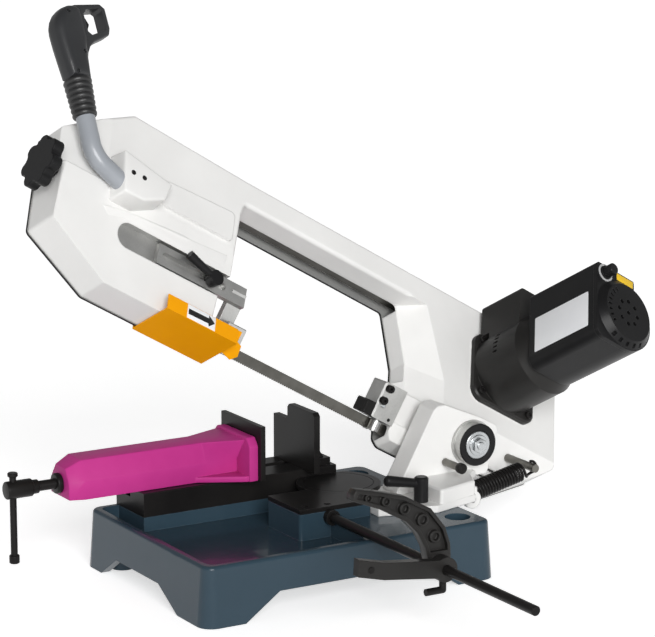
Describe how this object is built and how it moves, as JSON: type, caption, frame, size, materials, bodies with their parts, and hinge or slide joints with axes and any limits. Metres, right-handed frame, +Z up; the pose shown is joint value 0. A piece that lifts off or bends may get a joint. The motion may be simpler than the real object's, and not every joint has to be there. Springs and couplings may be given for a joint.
{
  "type": "metal cutting band saw",
  "caption": "Bench band saw for metal with a lifting canted bow, screw vise, mitre swivel, sliding blade guide and material stop, shown raised",
  "frame": {"origin": "centre of the four base bolt holes, on the ground under the base", "axes": "+X towards the bow pivot and motor, -Y towards the operator, +Z up"},
  "size_m": [0.759, 0.6508, 0.6589],
  "materials": {
    "base_paint": "gloss paint",
    "bow_paint": "satin powder coat",
    "carriage_paint": "satin powder coat",
    "guard_paint": "satin paint",
    "black_steel": "satin black",
    "steel": "bright",
    "band_steel": "oiled",
    "zinc": "zinc plated",
    "bare_aluminium": "machined",
    "wheel_aluminium": "machined",
    "black_aluminium": "satin black",
    "black_plastic": "fine grain",
    "boot_rubber": "matt",
    "tube_paint": "satin paint"
  },
  "bodies": {
    "base": {"base_casting": "base_paint", "table_plate": "black_steel", "table_disc": "black_steel", "base_screws": "black_steel", "swivel_post": "steel", "vise_bed": "black_steel", "fixed_jaw": "black_steel", "vise_nut": "steel", "stop_rod": "black_steel", "stop_nut": "black_steel"},
    "vise_carriage": {"vise_carriage": "carriage_paint", "moving_jaw_plate": "black_steel", "jaw_screws": "black_steel", "screw_collar": "carriage_paint"},
    "vise_screw": {"vise_screw": "black_steel"},
    "vise_bar": {"vise_handle_bar": "black_steel"},
    "stop_carrier": {"stop_carrier": "black_aluminium", "stop_tip_screw": "black_steel"},
    "stop_arm": {"stop_arm": "black_aluminium"},
    "stop_lever": {"stop_lever": "black_steel"},
    "swivel": {"swivel_bracket": "bow_paint", "stop_pin": "steel", "spring_anchor": "steel"},
    "swivel_lever": {"swivel_clamp_lever": "black_plastic"},
    "bow": {"bow_casting": "bow_paint", "wheel_cover": "black_plastic", "cover_screws": "steel", "saw_band": "band_steel", "gear_case": "black_aluminium", "flange_screws": "zinc", "motor_barrel": "black_plastic", "motor_end_cap": "black_plastic", "handle_tube": "tube_paint", "handle_boot": "boot_rubber", "handle_grip": "black_plastic", "lower_guide_block": "bare_aluminium", "lower_guide_clamp": "bare_aluminium", "pivot_shaft": "steel", "pivot_disc": "bow_paint", "pivot_ring": "black_plastic", "pivot_bolt": "zinc", "spring_pin": "steel", "tension_spring": "black_steel"},
    "drive": {"drive_wheel": "wheel_aluminium", "drive_shaft": "steel"},
    "rotor": {"motor_rotor": "steel"},
    "tension": {"tension_slide": "steel"},
    "idle": {"idle_wheel": "wheel_aluminium"},
    "tension_knob": {"tension_knob": "black_plastic"},
    "guide": {"guide_arm": "bare_aluminium", "upper_guide_block": "bare_aluminium", "blade_guard": "guard_paint"},
    "guide_lever": {"guide_clamp_lever": "black_plastic"},
    "upper_roller_front": {"upper_roller_front": "steel"},
    "upper_roller_back": {"upper_roller_back": "steel"},
    "lower_roller_front": {"lower_roller_front": "steel"},
    "lower_roller_back": {"lower_roller_back": "steel"},
    "trigger": {"trigger": "black_plastic"},
    "speed_dial": {"speed_dial": "black_plastic"}
  },
  "joints": [
    {"name": "vise_slide", "type": "slide", "parent": "base", "child": "vise_carriage", "axis": [1, 0, 0], "range_m": [-0.0602, 0.0652]},
    {"name": "vise_screw_turn", "type": "hinge", "parent": "vise_carriage", "child": "vise_screw", "pos_m": [-0.287, 0.11, 0.1137], "axis": [1, 0, 0], "range_deg": [-7200, 7800]},
    {"name": "vise_bar_slide", "type": "slide", "parent": "vise_screw", "child": "vise_bar", "axis": [0, 0, 1], "range_m": [0, 0.06]},
    {"name": "stop_slide", "type": "slide", "parent": "base", "child": "stop_carrier", "axis": [0, 1, 0], "range_m": [-0.15, 0.11]},
    {"name": "stop_swing", "type": "hinge", "parent": "stop_carrier", "child": "stop_arm", "pos_m": [0.0217, -0.278, 0.076], "axis": [0, 1, 0], "range_deg": [-30, 90]},
    {"name": "stop_lever_turn", "type": "hinge", "parent": "stop_carrier", "child": "stop_lever", "pos_m": [0.0217, -0.2925, 0.055], "axis": [0, 0, 1], "range_deg": [-60, 60]},
    {"name": "mitre_swivel", "type": "hinge", "parent": "base", "child": "swivel", "pos_m": [0.085, 0.03, 0.075], "axis": [0, 0, 1], "range_deg": [0, 45]},
    {"name": "swivel_clamp_turn", "type": "hinge", "parent": "swivel", "child": "swivel_lever", "pos_m": [0.142, -0.062, 0.09], "axis": [0, 0, 1], "range_deg": [-45, 45]},
    {"name": "bow_lift", "type": "hinge", "parent": "swivel", "child": "bow", "pos_m": [0.236, 0, 0.1285], "axis": [0, 1, 0], "range_deg": [-30, 0], "stiffness_Nm_per_rad": 20, "springref_deg": 60.16, "deforming": ["tension_spring"]},
    {"name": "drive_spin", "type": "hinge", "parent": "bow", "child": "drive", "pos_m": [0.31779, 0.08148, 0.12876], "axis": [0.2868, -0.8192, 0.4967], "continuous": true},
    {"name": "motor_spin", "type": "hinge", "parent": "bow", "child": "rotor", "pos_m": [0.33748, 0.10543, 0.15688], "axis": [0.2868, -0.8192, 0.4967], "continuous": true},
    {"name": "tension_knob_turn", "type": "hinge", "parent": "bow", "child": "tension_knob", "pos_m": [-0.26707, 0.06876, 0.48975], "axis": [0.866, 0, -0.5], "range_deg": [-961, 1]},
    {"name": "tension_move", "type": "slide", "parent": "bow", "child": "tension", "axis": [0.866, 0, -0.5], "range_m": [0, 0.004]},
    {"name": "idle_spin", "type": "hinge", "parent": "tension", "child": "idle", "pos_m": [-0.18451, 0.08148, 0.41876], "axis": [0.2868, -0.8192, 0.4967], "continuous": true},
    {"name": "guide_slide", "type": "slide", "parent": "bow", "child": "guide", "axis": [0.866, 0, -0.5], "range_m": [-0.003, 0.058]},
    {"name": "guide_clamp_turn", "type": "hinge", "parent": "bow", "child": "guide_lever", "pos_m": [-0.08024, 0.03532, 0.34736], "axis": [0.2378, -0.8796, 0.4119], "range_deg": [-60, 15]},
    {"name": "upper_roller_front_spin", "type": "hinge", "parent": "guide", "child": "upper_roller_front", "pos_m": [-0.07144, 0.02225, 0.26859], "axis": [0.5, 0, 0.866], "continuous": true},
    {"name": "upper_roller_back_spin", "type": "hinge", "parent": "guide", "child": "upper_roller_back", "pos_m": [-0.07144, 0.03775, 0.26859], "axis": [0.5, 0, 0.866], "continuous": true},
    {"name": "lower_roller_front_spin", "type": "hinge", "parent": "bow", "child": "lower_roller_front", "pos_m": [0.12947, 0.02225, 0.15259], "axis": [0.5, 0, 0.866], "continuous": true},
    {"name": "lower_roller_back_spin", "type": "hinge", "parent": "bow", "child": "lower_roller_back", "pos_m": [0.12947, 0.03775, 0.15259], "axis": [0.5, 0, 0.866], "continuous": true},
    {"name": "trigger_pull", "type": "slide", "parent": "bow", "child": "trigger", "axis": [-0.9564, -0.2149, 0.1978], "range_m": [0, 0.006], "stiffness_N_per_m": 600, "springref_m": -0.004},
    {"name": "dial_turn", "type": "hinge", "parent": "bow", "child": "speed_dial", "pos_m": [0.39826, -0.06974, 0.32615], "axis": [0.2868, -0.8192, 0.4967], "range_deg": [-135, 135]}
  ],
  "couplings": [
    {"joint": "vise_slide", "follows": "vise_screw_turn", "m_per_rad": 0.00047746},
    {"joint": "tension_knob_turn", "follows": "tension_move", "rad_per_m": -4188.8},
    {"joint": "motor_spin", "follows": "drive_spin", "ratio": -2},
    {"joint": "idle_spin", "follows": "drive_spin", "ratio": 1},
    {"joint": "upper_roller_front_spin", "follows": "drive_spin", "ratio": -12.82},
    {"joint": "upper_roller_back_spin", "follows": "drive_spin", "ratio": 12.82},
    {"joint": "lower_roller_front_spin", "follows": "drive_spin", "ratio": -12.82},
    {"joint": "lower_roller_back_spin", "follows": "drive_spin", "ratio": 12.82}
  ]
}
